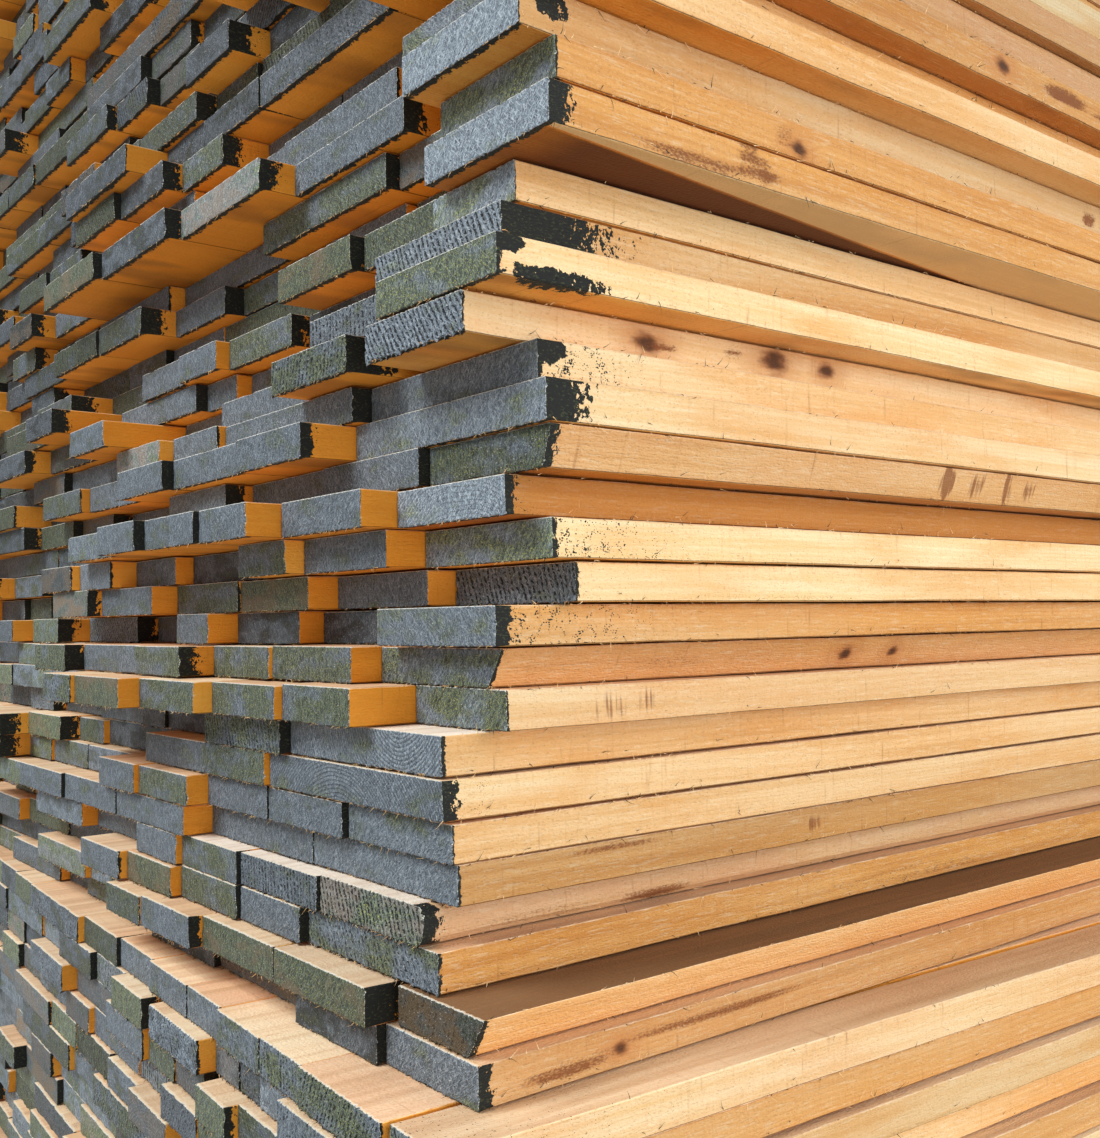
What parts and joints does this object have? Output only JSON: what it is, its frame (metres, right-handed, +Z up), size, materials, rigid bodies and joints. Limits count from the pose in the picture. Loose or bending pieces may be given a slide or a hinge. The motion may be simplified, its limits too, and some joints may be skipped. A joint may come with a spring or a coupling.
{
  "type": "lumber stack",
  "caption": "Dead-piled stack of rough-sawn hardwood boards with painted ends, an upper bundle resting on a lower one.",
  "frame": {"origin": "middle of the stack's rectangular outline in plan, at the level of its underside", "axes": "+X along the boards, away from the near painted ends; +Y across the stack, away from the near side; +Z up"},
  "size_m": [2.5918, 1.5894, 1.68],
  "materials": {
    "rough_sawn_board": "rough-sawn pale hardwood, ends sealed with dark grey-blue paint"
  },
  "bodies": {
    "root": {"lower_layer_01": "rough_sawn_board", "lower_layer_02": "rough_sawn_board", "lower_layer_03": "rough_sawn_board", "lower_layer_04": "rough_sawn_board", "lower_layer_05": "rough_sawn_board", "lower_layer_06": "rough_sawn_board", "lower_layer_07": "rough_sawn_board", "lower_layer_08": "rough_sawn_board", "lower_layer_09": "rough_sawn_board", "lower_layer_10": "rough_sawn_board", "lower_layer_11": "rough_sawn_board", "lower_layer_12": "rough_sawn_board", "lower_layer_13": "rough_sawn_board", "lower_layer_14": "rough_sawn_board", "lower_layer_15": "rough_sawn_board", "lower_layer_16": "rough_sawn_board", "upper_layer_01": "rough_sawn_board", "upper_layer_02": "rough_sawn_board", "upper_layer_03": "rough_sawn_board", "upper_layer_04": "rough_sawn_board", "upper_layer_05": "rough_sawn_board", "upper_layer_06": "rough_sawn_board", "upper_layer_07": "rough_sawn_board", "upper_layer_08": "rough_sawn_board", "upper_layer_09": "rough_sawn_board", "upper_layer_10": "rough_sawn_board", "upper_layer_11": "rough_sawn_board", "upper_layer_12": "rough_sawn_board", "upper_layer_13": "rough_sawn_board", "upper_layer_14": "rough_sawn_board", "upper_layer_15": "rough_sawn_board", "upper_layer_16": "rough_sawn_board", "upper_layer_17": "rough_sawn_board", "upper_layer_18": "rough_sawn_board", "upper_layer_19": "rough_sawn_board", "upper_layer_20": "rough_sawn_board", "upper_layer_21": "rough_sawn_board", "upper_layer_22": "rough_sawn_board", "upper_layer_23": "rough_sawn_board", "upper_layer_24": "rough_sawn_board", "upper_layer_25": "rough_sawn_board", "upper_layer_26": "rough_sawn_board", "upper_layer_27": "rough_sawn_board", "upper_layer_28": "rough_sawn_board", "upper_layer_29": "rough_sawn_board", "upper_layer_30": "rough_sawn_board", "upper_layer_31": "rough_sawn_board", "upper_layer_32": "rough_sawn_board", "upper_layer_33": "rough_sawn_board", "upper_layer_34": "rough_sawn_board", "upper_layer_35": "rough_sawn_board", "upper_layer_36": "rough_sawn_board", "upper_layer_37": "rough_sawn_board", "upper_layer_38": "rough_sawn_board", "upper_layer_39": "rough_sawn_board", "upper_layer_40": "rough_sawn_board", "upper_layer_41": "rough_sawn_board", "upper_layer_42": "rough_sawn_board", "upper_layer_43": "rough_sawn_board", "upper_layer_44": "rough_sawn_board"}
  },
  "joints": []
}
